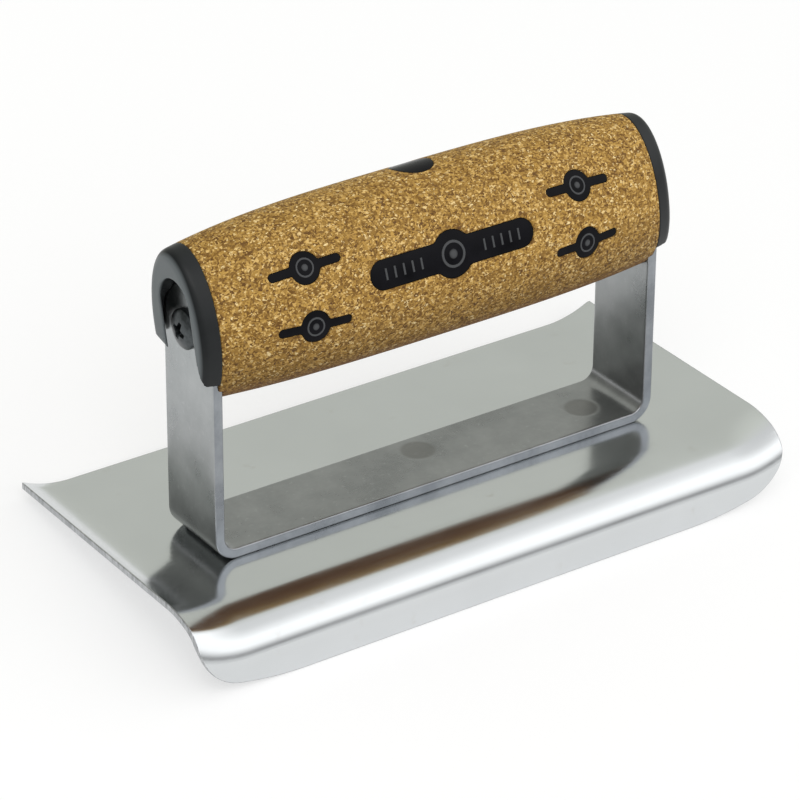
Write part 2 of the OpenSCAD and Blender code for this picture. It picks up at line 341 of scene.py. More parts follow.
def bracket_stations():
    """(X, Z, inward X, inward Z) along the bar's outer face, from the left end to the right."""
    bend_x = BRACKET_HALF - BRACKET_BEND_R
    bend_z = SHEET_T + BRACKET_BEND_R
    arch = AXIS_Z + BAR_HALF_W * np.sin(np.linspace(0, QUARTER, 13)[1:-1])
    upright = np.concatenate([np.linspace(bend_z, AXIS_Z, 40)[1:], arch])
    bend = np.linspace(0, QUARTER, 17)
    bar = np.linspace(0, bend_x, 110)[:-1]
    half = [(x, SHEET_T, 0, 1) for x in bar]
    for a in bend:
        s, c = math.sin(a), math.cos(a)
        half.append((bend_x + BRACKET_BEND_R * s, bend_z - BRACKET_BEND_R * c, -s, c))
    half += [(BRACKET_HALF, z, -1, 0) for z in upright]
    return [(-x, z, -nx, nz) for x, z, nx, nz in half[:0:-1]] + half


def bar_section(half_width):
    """(Y, depth) points round the bar's rounded section."""
    radius = min(BAR_EDGE_R, half_width / 2)
    wide = half_width - radius
    inner = [complex(y, BAR_T) for y in np.linspace(wide, -wide, 46)]
    outer = [complex(y, 0) for y in np.linspace(-wide, wide, 9)]
    corner_low = arc(complex(-wide, BAR_T - radius), radius, QUARTER, math.pi, 5)[1:]
    corner_out = arc(complex(-wide, radius), radius, math.pi, 3 * QUARTER, 5)[:-1]
    corner_near = arc(complex(wide, radius), radius, -QUARTER, 0, 5)[1:]
    corner_last = arc(complex(wide, BAR_T - radius), radius, 0, QUARTER, 5)[:-1]
    return [*inner, *corner_low, *corner_out, *outer, *corner_near, *corner_last]


def weld_mark(x, y):
    """How deep inside a weld mark a place on the bar is, from 0 to 1."""
    nearest = min(math.hypot(x - weld_x, y - weld_y) for weld_x, weld_y in WELD_PLACES)
    return 1 - float(smoothstep(WELD_R - 0.5 * MM, WELD_R + 0.2 * MM, nearest))


def build_bracket():
    """The bent flat bar with its weld marks and bolt holes."""
    stations = bracket_stations()
    points = []
    marks = []
    sides = []
    for x, z, inward_x, inward_z in stations:
        above = max(0.0, z - AXIS_Z)
        for place in bar_section(math.sqrt(BAR_HALF_W**2 - above**2)):
            mark = weld_mark(x, place.real) if inward_z == 1 and place.imag == BAR_T else 0
            depth = place.imag - WELD_DEPTH * mark
            points.append((x + inward_x * depth, place.real, z + inward_z * depth))
            marks.append(mark)
            sides.append(BAR_EDGE_R * 0.2 < place.imag < BAR_T - BAR_EDGE_R * 0.2)
    count = len(points) // len(stations)
    faces = grid_faces(len(stations), count, wrap_columns=True)
    faces += [range(count), range(len(points) - 1, len(points) - count - 1, -1)]
    piece = new_piece("bracket_bar", points, faces)
    set_float(piece, "weld_mark", marks)
    set_float(piece, "cut_edge", sides)
    ring = arc(1j * AXIS_Z, BOLT_HOLE_R, 0, TURN, 48)[:-1]
    hole = prism("hole", [(0, p.real, p.imag) for p in ring], (-CAP_END, 0, 0), (CAP_END, 0, 0))
    cut(piece, [hole])
    mark_sharp(piece, 40)
    return piece


# ---- Handle ----

def in_handle(points):
    """Moves points from the handle's own frame into the part's frame."""
    x, y, z = np.asarray(points, float).T
    c, s = math.cos(ROLL), math.sin(ROLL)
    return np.stack([x, y * c + z * s, HANDLE_Z - y * s + z * c], axis=1)


def swell(x, ends):
    """A size that swells from the ends of the cork to its middle."""
    return ends[0] + (ends[1] - ends[0]) * (np.abs(x) / CORK_HALF) ** BARREL_POWER


def section_sizes(x, inset):
    """Half width, rise above the widest line and fall below it, at x."""
    width = swell(x, HALF_WIDTH) - inset
    return width, swell(x, TOP) - inset - WIDEST_Z, swell(x, BOTTOM) - inset + WIDEST_Z


def barrel_rings(profile, ring):
    """Rings of the handle's egg section, one per (x, inset) pair, in the handle's frame."""
    angle = np.linspace(0, TURN, ring, endpoint=False)
    power = np.where(np.sin(angle) >= 0, TOP_POWER, BOTTOM_POWER)
    across = np.sign(np.cos(angle)) * np.abs(np.cos(angle)) ** (2 / power)
    upward = np.sign(np.sin(angle)) * np.abs(np.sin(angle)) ** (2 / power)
    points = []
    for x, inset in profile:
        width, rise, fall = section_sizes(x, inset)
        height = np.where(upward >= 0, rise, fall)
        points.append(np.stack([np.full(ring, x), width * across, WIDEST_Z + height * upward], axis=1))
    return np.concatenate(points)


def reach(x, v, tilt, inset):
    """Distance from the handle's axis to its surface along a direction tilted above -Y, v to its side."""
    furthest, halvings = 30 * MM, 44
    width, rise, fall = section_sizes(x, inset)
    low = np.zeros_like(x)
    high = np.full_like(x, furthest)
    for _ in range(halvings):
        middle = (low + high) / 2
        y = v * math.sin(tilt) - middle * math.cos(tilt)
        z = v * math.cos(tilt) + middle * math.sin(tilt) - WIDEST_Z
        power = np.where(z >= 0, TOP_POWER, BOTTOM_POWER)
        height = np.where(z >= 0, rise, fall)
        outside = np.abs(y / width) ** power + np.abs(z / height) ** power > 1
        high = np.where(outside, middle, high)
        low = np.where(outside, low, middle)
    return (low + high) / 2


def on_handle(place, x0, tilt, inset, lift, side=1):
    """Points of the part's frame for flat places (complex: along X, up the surface) on the handle."""
    place = np.asarray(place)
    x, v = x0 + place.real, place.imag
    out = reach(x, v, tilt, inset) + lift
    y = v * math.sin(tilt) - out * math.cos(tilt)
    z = v * math.cos(tilt) + out * math.sin(tilt)
    return in_handle(np.stack([x, y * side, z], axis=1))


class Badge:
    """The flat outline of an inlay: a bar with round ends, and a disc in the middle."""

    def __init__(self, length, height, disc_r, fillet, sunk=INLAY_SET):
        self.length, self.height, self.disc_r, self.fillet = length, height, disc_r, fillet
        self.sunk = sunk

    def outline(self, grow=0.0):
        """Points round the outline, grown by a distance, as complex numbers."""
        half_h = self.height / 2 + grow
        end_x = (self.length - self.height) / 2
        quadrant = [arc(end_x, half_h, 0, QUARTER, 10)]
        disc_r = self.disc_r + grow
        if disc_r > half_h + 0.01 * MM:
            fillet = max(self.fillet - grow, 0.03 * MM)
            fillet_x = math.sqrt((disc_r + fillet) ** 2 - (half_h + fillet) ** 2)
            centre = complex(fillet_x, half_h + fillet)
            turn = math.atan2(centre.imag, centre.real)
            quadrant.append(arc(centre, fillet, -QUARTER, turn - math.pi, 6))
            quadrant.append(arc(0, disc_r, turn, QUARTER, 14)[1:])
        else:
            quadrant.append(np.array([1j * half_h]))
        q = np.concatenate(quadrant)
        return np.concatenate([q[:-1], -np.conj(q)[:0:-1], -q[:-1], np.conj(q)[:0:-1]])

    def inside(self, place, margin):
        """Which places lie inside the outline by more than a margin."""
        end_x = (self.length - self.height) / 2
        along = np.maximum(0, np.abs(place.real) - end_x)
        in_bar = np.hypot(along, place.imag) < self.height / 2 - margin
        return in_bar | (np.abs(place) < self.disc_r - margin)


def window_cutter(badge, x0, tilt, side):
    """A plug that cuts a window through the cork and breaks its outer edge."""
    past, clear = 0.5 * MM, 3 * MM
    wide = WINDOW_EDGE + past
    profile = [(0, -CORK_T - past), (0, -WINDOW_EDGE), (wide, past), (wide, clear)]
    rings = [on_handle(badge.outline(grow), x0, tilt, 0, lift, side) for grow, lift in profile]
    count = len(rings[0])
    faces = grid_faces(len(rings), count, wrap_columns=True)
    last = len(rings) * count
    faces += [range(count), range(last - 1, last - count - 1, -1)]
    return new_piece("window", np.concatenate(rings), faces)


PLAQUE = Badge(41.5 * MM, 6.5 * MM, 5.2 * MM, 1.4 * MM)
SMALL = Badge(17 * MM, 2 * MM, 3.5 * MM, 0.4 * MM)
CREST = Badge(9.8 * MM, 9.2 * MM, 4.6 * MM, 0, CREST_SET)


def inlay_places():
    """(name, CAD node, outline, X, tilt, side) of every inlay."""
    places = [("crest_inlay", "inlay_top", CREST, CREST_X, QUARTER, 1)]
    for face, side in (("front", 1), ("back", -1)):
        places.append((f"plaque_{face}_plate", f"plaque_{face}", PLAQUE, SHIFT_X, PLAQUE_TILT, side))
        for level, tilt in (("upper", UPPER_TILT), ("lower", LOWER_TILT)):
            for end, x in (("left", SHIFT_X - SMALL_X), ("right", SHIFT_X + SMALL_X)):
                node = f"inlay_{face}_{level}_{end}"
                places.append((f"{node}_plate", node, SMALL, x, tilt, side))
    return places


def build_cork():
    """The cork sleeve with its windows and the notches for the uprights."""
    ring, steps, edge = 200, 150, 0.25 * MM
    straight = [(x, 0) for x in np.linspace(edge - CORK_HALF, CORK_HALF - edge, steps)]
    bends = np.linspace(0, QUARTER, 5)[1:]
    right = [(CORK_HALF - edge * (1 - math.sin(a)), edge * (1 - math.cos(a))) for a in bends]
    inner = [(x, CORK_T) for x in np.linspace(CORK_HALF, -CORK_HALF, 40)]
    left = [(-x, inset) for x, inset in reversed(right)]
    profile = straight + right + inner + left
    points = in_handle(barrel_rings(profile, ring))
    faces = grid_faces(len(profile), ring, wrap_rows=True, wrap_columns=True)
    piece = new_piece("cork_grip", points, faces)
    cutters = [window_cutter(*place[2:]) for place in inlay_places()]
    inner_x = BRACKET_HALF - BAR_T - 0.1 * MM
    for side in (-1, 1):
        cutters.append(upright_space(side * inner_x, side * (CORK_HALF + MM)))
    cut(piece, cutters)
    mark_sharp(piece, 32)
    return piece


def upright_space(start_x, end_x, gap=SLOT_GAP):
    """A room with an upright's outline, grown by a gap, between two places along X."""
    half_w = BAR_HALF_W + gap
    outline = [complex(-half_w, 0), complex(half_w, 0), *arc(1j * AXIS_Z, half_w, 0, math.pi, 40)]
    return prism("upright_room", [(0, p.real, p.imag) for p in outline], (start_x, 0, 0), (end_x, 0, 0))


def leg_room():
    """What is cut away below the right cap's legs, with a rounded outer corner."""
    reach_y = 30 * MM
    corner = arc(complex(CAP_END - LEG_CORNER_R, LEG_CORNER_R), LEG_CORNER_R, -QUARTER, 0, 8)
    outline = [complex(CORK_HALF - 2 * MM, 0), *corner, complex(CAP_END + 2 * MM, LEG_CORNER_R)]
    outline += [complex(CAP_END + 2 * MM, -reach_y), complex(CORK_HALF - 2 * MM, -reach_y)]
    slope = (LEG_FAR_Z - LEG_NEAR_Z) / (2 * BAR_HALF_W)
    middle = (LEG_FAR_Z + LEG_NEAR_Z) / 2
    points = [(p.real, 0, middle + p.imag) for p in outline]
    return prism("leg_room", points, (0, -reach_y, -slope * reach_y), (0, reach_y, slope * reach_y))


def cap_window():
    """The right cap's arched window onto the screw, open downwards."""
    start_x, end_x, drop = BRACKET_HALF - 0.5 * MM, CAP_END + MM, 40 * MM
    near_y, far_y = CAP_WINDOW_Y - CAP_WINDOW_HALF_W, CAP_WINDOW_Y + CAP_WINDOW_HALF_W
    arch = arc(complex(CAP_WINDOW_Y, CAP_WINDOW_Z), CAP_WINDOW_HALF_W, 0, math.pi, 40)
    outline = [complex(near_y, -drop), complex(far_y, -drop), *arch]
    flat = [(0, p.real, p.imag) for p in outline]
    return prism("cap_window", in_handle(flat), (start_x, 0, 0), (end_x, 0, 0))


def build_cap(name, side):
    """A moulded cap with soft edges: a shell round the upright with a window in its end plate.

    The left cap is made as the right one and then mirrored.
    """
    ring, arc_steps, voxel, cork_gap = 160, 8, 0.17 * MM, 0.02 * MM
    start = CAP_END - CAP_R
    profile = [(x, 0) for x in np.linspace(CORK_HALF + cork_gap, start, 4)]
    bends = np.linspace(0, QUARTER, arc_steps + 1)[1:]
    profile += [(start + CAP_R * math.sin(a), CAP_R * (1 - math.cos(a))) for a in bends]
    points = in_handle(barrel_rings(profile, ring))
    last = len(profile) * ring
    faces = grid_faces(len(profile), ring, wrap_columns=True)
    faces += [range(ring), range(last - 1, last - ring - 1, -1)]
    piece = new_piece(name, points, faces)
    pocket = upright_space(BRACKET_HALF - BAR_T - MM, BRACKET_HALF + SLOT_GAP)
    cavity = upright_space(BRACKET_HALF, CAP_END - CAP_PLATE_T, -CAVITY_INSET)
    cut(piece, [pocket, cavity, cap_window(), leg_room()])
    remesh = piece.modifiers.new("remesh", "REMESH")
    remesh.mode = "VOXEL"
    remesh.voxel_size = voxel
    remesh.use_smooth_shade = True
    soften = piece.modifiers.new("soften", "SMOOTH")
    soften.factor = 0.5
    soften.iterations = 5
    apply_modifiers(piece)
    if side < 0:
        piece.data.transform(Matrix.Diagonal((-1, 1, 1, 1)))
        piece.data.flip_normals()
    return piece


# ---- Inlays ----

def ring_relief(inner, outer, edge, height):
    """Loops and height of a raised ring round the middle of a badge."""
    radii = [inner, inner + edge, outer - edge, outer]
    loops = [arc(0, r, 0, TURN, 40)[:-1] for r in radii]
    return loops, lambda place: np.interp(np.abs(place), radii, [0, height, height, 0], 0, 0)


def dome_relief(radius, height):
    """Loops and height of a low dome in the middle of a badge."""
    loops = [arc(0, radius * share, 0, TURN, 32)[:-1] for share in (0.35, 0.7, 0.9, 1)]
    return loops, lambda place: height * np.sqrt(np.clip(1 - np.abs(place) ** 2 / radius**2, 0, 1))


def bar_relief(x, half_w, half_h, edge, height):
    """Loops and height of a raised upright bar at a distance x from the middle of a badge."""
    def loop(grow):
        w, h = half_w + grow, half_h + grow
        return np.array([complex(x - w, -h), complex(x + w, -h), complex(x + w, h), complex(x - w, h)])

    def rise(place):
        room = np.minimum(half_w - np.abs(place.real - x), half_h - np.abs(place.imag))
        return height * np.clip(room / edge, 0, 1)

    return [loop(0), loop(-edge)], rise


def plaque_relief():
    """A plain ring and dome, between two rows of plain bars."""
    edge, height = 0.1 * MM, 0.16 * MM
    parts = [ring_relief(2.3 * MM, 3 * MM, edge, height), dome_relief(1.1 * MM, height)]
    for side in (-1, 1):
        for k in range(5):
            parts.append(bar_relief(side * (8 + 2.2 * k) * MM, 0.3 * MM, 1.3 * MM, edge, height))
    return parts


def small_relief():
    """A plain ring and dome."""
    return [ring_relief(1.6 * MM, 2.1 * MM, 0.1 * MM, 0.14 * MM), dome_relief(0.8 * MM, 0.14 * MM)]


def fill(badge, outline, loops, spacing):
    """Triangles over an outline, with the loops as edges and a lattice of points between them."""
    places = [outline, *loops]
    edges = []
    start = 0
    for loop in places:
        count = len(loop)
        edges += [(start + i, start + (i + 1) % count) for i in range(count)]
        start += count
    fixed = np.concatenate(places)
    half_x, half_y = badge.length / 2, max(badge.height / 2, badge.disc_r)
    lattice = [
        complex(x + (spacing / 2 if row % 2 else 0), y)
        for row, y in enumerate(np.arange(-half_y, half_y, spacing * 0.87))
        for x in np.arange(-half_x, half_x, spacing)
    ]
    lattice = np.array(lattice)
    lattice = lattice[badge.inside(lattice, spacing * 0.6)]
    gap = np.abs(lattice[:, None] - fixed[None, :]).min(axis=1)
    lattice = lattice[gap > spacing * 0.45]
    scale = 1 / MM
    flat = [Vector((p.real * scale, p.imag * scale)) for p in np.concatenate([fixed, lattice])]
    made = delaunay_2d_cdt(flat, edges, [list(range(len(outline)))], 1, 1e-6)
    return np.array([complex(p.x, p.y) / scale for p in made[0]]), made[2]


def build_inlay(name, badge, x0, tilt, side, relief):
    """A plate that follows the handle, sunk a little below the cork's face, with its relief."""
    top_spacing, base_spacing, core_gap, same = 0.55 * MM, 1.2 * MM, 0.02 * MM, 0.01 * MM
    top = badge.outline(-INLAY_GAP - INLAY_EDGE)
    loops = [loop for part_loops, _ in relief for loop in part_loops]
    places, faces = fill(badge, top, loops, top_spacing)
    rise = sum((height(places) for _, height in relief), np.zeros(len(places)))
    points = [on_handle(places, x0, tilt, 0, rise - badge.sunk, side)]
    rims = [(-INLAY_GAP - INLAY_EDGE, 0, -badge.sunk), (-INLAY_GAP, 0, -badge.sunk - INLAY_EDGE)]
    rims.append((-INLAY_GAP, CORK_T, core_gap))
    count = len(top)
    start = len(places)
    faces = [tuple(f) for f in faces]
    for grow, inset, lift in rims:
        points.append(on_handle(badge.outline(grow), x0, tilt, inset, lift, side))
    wall = grid_faces(len(rims), count, wrap_columns=True)
    faces += [tuple(start + i for i in f) for f in wall]
    face_points = KDTree(len(places))
    for i, point in enumerate(points[0]):
        face_points.insert(point, i)
    face_points.balance()
    start += len(rims) * count
    places, base = fill(badge, badge.outline(-INLAY_GAP), [], base_spacing)
    points.append(on_handle(places, x0, tilt, CORK_T, core_gap, side))
    faces += [tuple(start + i for i in f) for f in base]
    piece = new_piece(name, np.concatenate(points), faces)
    nearest = [face_points.find(v.co) for v in piece.data.vertices]
    highest = max(float(rise.max()), 1e-9)
    # The relief's height share, which the material turns into a paler colour, partly a painted highlight.
    set_float(piece, "raised", [rise[i] / highest if gap < same else 0 for _, i, gap in nearest])
    mark_sharp(piece, 30)
    return piece


# ---- Screws ----

def build_screw(name, side):
    """A screw with a low domed head, a cross recess and a rolled thread."""
    around, rim_h, edge = 72, 1.3 * MM, 0.2 * MM
    rise = HEAD_H - rim_h
    dome_r = (HEAD_R**2 + rise**2) / (2 * rise)
    radii = np.linspace(0, HEAD_R - edge, 16)[1:]
    dome = [(HEAD_H - dome_r + math.sqrt(dome_r**2 - r**2), r) for r in radii]
    bends = np.linspace(0, QUARTER, 5)[1:]
    rim = [(rim_h - edge * (1 - math.cos(a)), HEAD_R - edge * (1 - math.sin(a))) for a in bends]
    core_r, crest_r, pitch = 2.05 * MM, 2.4 * MM, 0.8 * MM
    neck = [(0, HEAD_R), (0, crest_r), (-0.6 * MM, crest_r)]
    thread_x = np.arange(-1 * MM, 1.2 * MM - SCREW_LEN, -0.1 * MM)
    angles = np.linspace(0, TURN, around, endpoint=False)
    rings = [[(x, r)] * around for x, r in dome + rim + neck]
    for x in thread_x:
        phase = (x / pitch + angles / TURN) % 1
        depth = np.clip(1.4 * np.abs(2 * phase - 1) - 0.2, 0, 1)
        rings.append([(x, core_r + (crest_r - core_r) * d) for d in depth])
    rings += [[(thread_x[-1] - 0.4 * MM, core_r)] * around, [(-SCREW_LEN, core_r * 0.6)] * around]
    points = []
    for ring in rings:
        for (x, r), angle in zip(ring, angles):
            points.append((side * (BRACKET_HALF + x), r * math.cos(angle), AXIS_Z + r * math.sin(angle)))
    faces = grid_faces(len(rings), around, wrap_columns=True)
    last = len(points)
    faces += [range(around), range(last - 1, last - around - 1, -1)]
    piece = new_piece(name, points, faces)
    cut(piece, [recess_cutter(side)])
    mark_sharp(piece, 32)
    return piece


def recess_cutter(side):
    """A cross that narrows towards its tip."""
    long, short, depth = 2.3 * MM, 0.55 * MM, 1.6 * MM
    quarter = [complex(long, -short), complex(long, short), complex(short * 1.35, short * 1.35)]
    outline = [p * 1j**k for k in range(4) for p in quarter]
    turned = [p * np.exp(0.35j) for p in outline]
    rings = []
    for x, share in ((HEAD_H + MM, 1.25), (HEAD_H - depth, 0.55)):
        rings += [(side * (BRACKET_HALF + x), p.real * share, AXIS_Z + p.imag * share) for p in turned]
    count = len(turned)
    faces = grid_faces(2, count, wrap_columns=True) + [range(count), range(2 * count - 1, count - 1, -1)]
    return new_piece("recess", rings, faces)


# ---- Materials ----

class Finish:
    """A material and short calls that add nodes to it."""

    def __init__(self, name, **sockets):
        self.material = bpy.data.materials.new(name)
        self.material.use_nodes = True
        self.tree = self.material.node_tree
        self.tree.nodes.clear()
        self.shader = self.add("ShaderNodeBsdfPrincipled", sockets)
        output = self.add("ShaderNodeOutputMaterial")
        self.tree.links.new(self.shader.outputs["BSDF"], output.inputs["Surface"])
        self.place = self.add("ShaderNodeTexCoord").outputs["Object"]

    def add(self, kind, sockets=None, **settings):
        """A node with its settings, and each socket set to a value or linked to an output."""
        node = self.tree.nodes.new(kind)
        for key, value in settings.items():
            setattr(node, key, value)
        for key, value in (sockets or {}).items():
            self.feed(node.inputs[key.replace("_", " ") if isinstance(key, str) else key], value)
        return node

    def feed(self, socket, value):
        """Links an output to the socket, or sets its value."""
        if isinstance(value, bpy.types.NodeSocket):
            self.tree.links.new(value, socket)
        elif socket.type == "RGBA":
            socket.default_value = (*value, 1)
        else:
            socket.default_value = value

    def set(self, key, value):
        """Feeds one of the shader's own sockets."""
        self.feed(self.shader.inputs[key], value)

    def stretched(self, scale, turn=(0, 0, 0), place=None):
        """The object's coordinates, turned and scaled."""
        sockets = {"Vector": place or self.place, "Rotation": turn, "Scale": scale}
        return self.add("ShaderNodeMapping", sockets).outputs["Vector"]

    def noise(self, scale, detail=3.0, rough=0.5, place=None):
        """Noise from 0 to 1."""
        sockets = {"Vector": place or self.place, "Scale": scale, "Detail": detail, "Roughness": rough}
        return self.add("ShaderNodeTexNoise", sockets).outputs

    def cells(self, scale, place, feature="F1"):
        """Voronoi cells."""
        sockets = {"Vector": place, "Scale": scale}
        return self.add("ShaderNodeTexVoronoi", sockets, feature=feature).outputs

    def ramp(self, factor, stops):
        """Colours along a factor: (position, colour) pairs."""
        node = self.add("ShaderNodeValToRGB", {0: factor})
        elements = node.color_ramp.elements
        while len(elements) < len(stops):
            elements.new(1)
        for element, (position, colour) in zip(elements, stops):
            element.position = position
            element.color = (*colour, 1)
        return node.outputs["Color"]

    def span(self, value, low, high, to_low=0.0, to_high=1.0):
        """Maps a range of values onto another and clamps it."""
        sockets = {"Value": value, 1: low, 2: high, 3: to_low, 4: to_high}
        return self.add("ShaderNodeMapRange", sockets).outputs["Result"]

    def mix(self, factor, first, second, blend="MIX"):
        """Two colours blended."""
        node = self.add("ShaderNodeMix", data_type="RGBA", blend_type=blend)
        self.feed(node.inputs[0], factor)
        self.feed(node.inputs[6], first)
        self.feed(node.inputs[7], second)
        return node.outputs[2]

    def calc(self, operation, first, second=0.0):
        """One sum."""
        return self.add("ShaderNodeMath", {0: first, 1: second}, operation=operation).outputs[0]

    def channel(self, colour, name="Red"):
        """One channel of a colour."""
        return self.add("ShaderNodeSeparateColor", {"Color": colour}).outputs[name]

    def upward(self):
        """Height in the part's frame, in metres."""
        return self.add("ShaderNodeSeparateXYZ", {0: self.place}).outputs["Z"]

    def stored(self, name):
        """A number stored on the mesh."""
        return self.add("ShaderNodeAttribute", attribute_name=name).outputs["Fac"]

    def bump(self, height, distance, strength=1.0):
        """Adds a bump and feeds it to the shader."""
        sockets = {"Height": height, "Distance": distance, "Strength": strength}
        self.set("Normal", self.add("ShaderNodeBump", sockets).outputs["Normal"])


def polished_steel():
    """Stainless sheet, polished along its length, with faint marks and sheared edges."""
    f = Finish("polished_steel", Metallic=1.0)
    grain = f.noise(1.0, 2.0, place=f.stretched((60, 3600, 3600)))["Fac"]
    cloud = f.noise(26.0, 4.0, 0.6)["Fac"]
    spots = f.noise(150.0, 5.0, 0.7)["Fac"]
    warm = f.ramp(cloud, [(0.3, (0.625, 0.645, 0.655)), (0.7, (0.665, 0.685, 0.695))])
    smudge = f.span(spots, 0.62, 0.75, 0.0, 0.25)
    colour = f.mix(smudge, warm, (0.50, 0.48, 0.44))
    cut = f.stored("cut_edge")
    sheared = f.noise(1.0, 3.0, place=f.stretched((2600, 2600, 350)))["Fac"]
    edge_colour = f.ramp(sheared, [(0.35, (0.30, 0.31, 0.32)), (0.65, (0.56, 0.57, 0.58))])
    f.set("Base Color", f.mix(cut, colour, edge_colour))
    rough = f.calc("ADD", f.span(grain, 0.3, 0.7, 0.10, 0.17), f.span(cloud, 0.35, 0.7, 0.0, 0.06))
    rough = f.calc("ADD", rough, f.calc("MULTIPLY", cut, 0.24))
    f.set("Roughness", rough)
    f.bump(grain, 0.0000015)
    return f.material


def bar_steel():
    """Flat bar with a mill finish, fine scratches and dull weld marks, and painted shade that darkens it
    downwards.
    """
    f = Finish("bar_steel", Metallic=1.0)
    cloud = f.noise(90.0, 5.0, 0.65)["Fac"]
    patch = f.noise(30.0, 3.0, 0.5)["Fac"]
    speck = f.noise(900.0, 3.0, 0.6)["Fac"]
    scratch = f.noise(1.0, 2.0, place=f.stretched((300, 5200, 300), (0.3, 0.2, 0.1)))["Fac"]
    tone = f.calc("ADD", f.calc("MULTIPLY", cloud, 0.6), f.calc("MULTIPLY", patch, 0.4))
    # Painted shade: the base colour runs from a darker tone low down to a paler one higher up, standing in
    # for the shade and darker reflections at the bar's foot.
    low = f.ramp(tone, [(0.36, (0.245, 0.252, 0.257)), (0.68, (0.38, 0.387, 0.392))])
    high = f.ramp(tone, [(0.36, (0.33, 0.35, 0.355)), (0.68, (0.47, 0.49, 0.495))])
    rise = f.span(f.upward(), 0.008, 0.05)
    colour = f.mix(rise, low, high)
    colour = f.mix(f.span(speck, 0.62, 0.76, 0.0, 0.35), colour, (0.55, 0.56, 0.57))
    sheared = f.ramp(cloud, [(0.35, (0.19, 0.205, 0.225)), (0.65, (0.31, 0.33, 0.355))])
    colour = f.mix(f.calc("MULTIPLY", f.stored("cut_edge"), 0.85), colour, sheared)
    mark = f.stored("weld_mark")
    f.set("Base Color", f.mix(f.calc("MULTIPLY", mark, 0.5), colour, (0.17, 0.165, 0.155)))
    rough = f.calc("ADD", f.span(tone, 0.3, 0.7, 0.22, 0.36), f.span(scratch, 0.55, 0.75, 0.0, 0.12))
    f.set("Roughness", f.calc("ADD", rough, f.calc("MULTIPLY", mark, 0.08)))
    height = f.calc("ADD", f.calc("MULTIPLY", speck, 0.5), f.calc("MULTIPLY", scratch, 0.5))
    f.bump(height, 0.00002, 0.6)
    return f.material


def cork():
    """Pressed cork: fine golden chips in a darker binder, with painted shade that darkens it towards the
    underside.
    """
    f = Finish("cork", Roughness=0.72, **{"Specular_IOR_Level": 0.25})
    shake = f.noise(1300.0, 2.0)["Color"]
    moved = f.add("ShaderNodeVectorMath", {0: shake, 1: (0.5, 0.5, 0.5)}, operation="SUBTRACT").outputs[0]
    moved = f.add("ShaderNodeVectorMath", {0: moved, "Scale": 0.0007}, operation="SCALE").outputs[0]
    place = f.add("ShaderNodeVectorMath", {0: f.place, 1: moved}, operation="ADD").outputs[0]
    chips = []
    for scale, stretch, turn in (
        (1150.0, (1.0, 1.9, 1.2), (0.5, 0.2, 0.4)),
        (1350.0, (1.8, 1.0, 1.2), (0.2, 0.9, 1.1)),
        (2100.0, (1.0, 1.4, 1.8), (1.3, 0.4, 0.7)),
    ):
        chips.append(f.cells(scale, f.stretched(stretch, turn, place)))
    tones = [
        (0.0, (0.115, 0.050, 0.010)),
        (0.2, (0.21, 0.105, 0.018)),
        (0.5, (0.36, 0.200, 0.040)),
        (0.78, (0.54, 0.318, 0.074)),
        (0.93, (0.74, 0.490, 0.168)),
        (1.0, (0.88, 0.68, 0.34)),
    ]
    shades = [f.ramp(f.channel(c["Color"], "Green"), tones) for c in chips]
    pick = f.channel(chips[0]["Color"], "Blue")
    colour = f.mix(f.span(pick, 0.45, 0.55), shades[0], shades[1])
    fine = f.channel(chips[2]["Color"], "Red")
    colour = f.mix(f.span(fine, 0.55, 0.62), colour, shades[2])
    chip_place = f.stretched((1.0, 1.9, 1.2), (0.5, 0.2, 0.4), place)
    joint = f.cells(1150.0, chip_place, "DISTANCE_TO_EDGE")["Distance"]
    colour = f.mix(f.span(joint, 0.0, 0.08, 0.4, 0.0), colour, (0.13, 0.065, 0.018))
    # Painted shade: the base colour darkens towards the underside, and darkens further with a reddish tint
    # in the lowest band.
    painted_underside_shade = f.span(f.upward(), 0.038, 0.057, 0.8, 0.0)
    colour = f.mix(painted_underside_shade, colour, f.mix(0.75, colour, (0.04, 0.018, 0.004), "MULTIPLY"))
    shade = f.span(f.upward(), 0.038, 0.044, 0.6, 0.0)
    f.set("Base Color", f.mix(shade, colour, (0.20, 0.095, 0.065)))
    f.set("Roughness", f.span(f.channel(chips[1]["Color"]), 0, 1, 0.55, 0.85))
    height = f.calc("ADD", f.channel(chips[1]["Color"]), f.span(joint, 0.0, 0.15, 0.0, 1.0))
    f.bump(height, 0.00004, 0.5)
    return f.material


def cap_rubber():
    """Satin charcoal rubber with a fine moulded texture, and a painted sheen that makes its end faces
    paler.
    """
    f = Finish("cap_rubber", **{"Specular_IOR_Level": 0.25})
    fine = f.noise(5200.0, 2.0)["Fac"]
    wear = f.noise(120.0, 4.0, 0.6)["Fac"]
    flank = f.ramp(wear, [(0.3, (0.009, 0.0105, 0.011)), (0.75, (0.015, 0.017, 0.018))])
    along = f.add("ShaderNodeSeparateXYZ", {0: f.place}).outputs["X"]
    # Painted sheen: the end faces get a paler base colour, standing in for the bright floor that they
    # reflect.
    painted_end_sheen = f.span(f.calc("ABSOLUTE", along), CAP_END - 0.8 * MM, CAP_END - 0.2 * MM)
    f.set("Base Color", f.mix(painted_end_sheen, flank, (0.16, 0.178, 0.184)))
    f.set("Roughness", f.span(wear, 0.3, 0.8, 0.36, 0.50))
    f.bump(fine, 0.000012, 0.5)
    return f.material


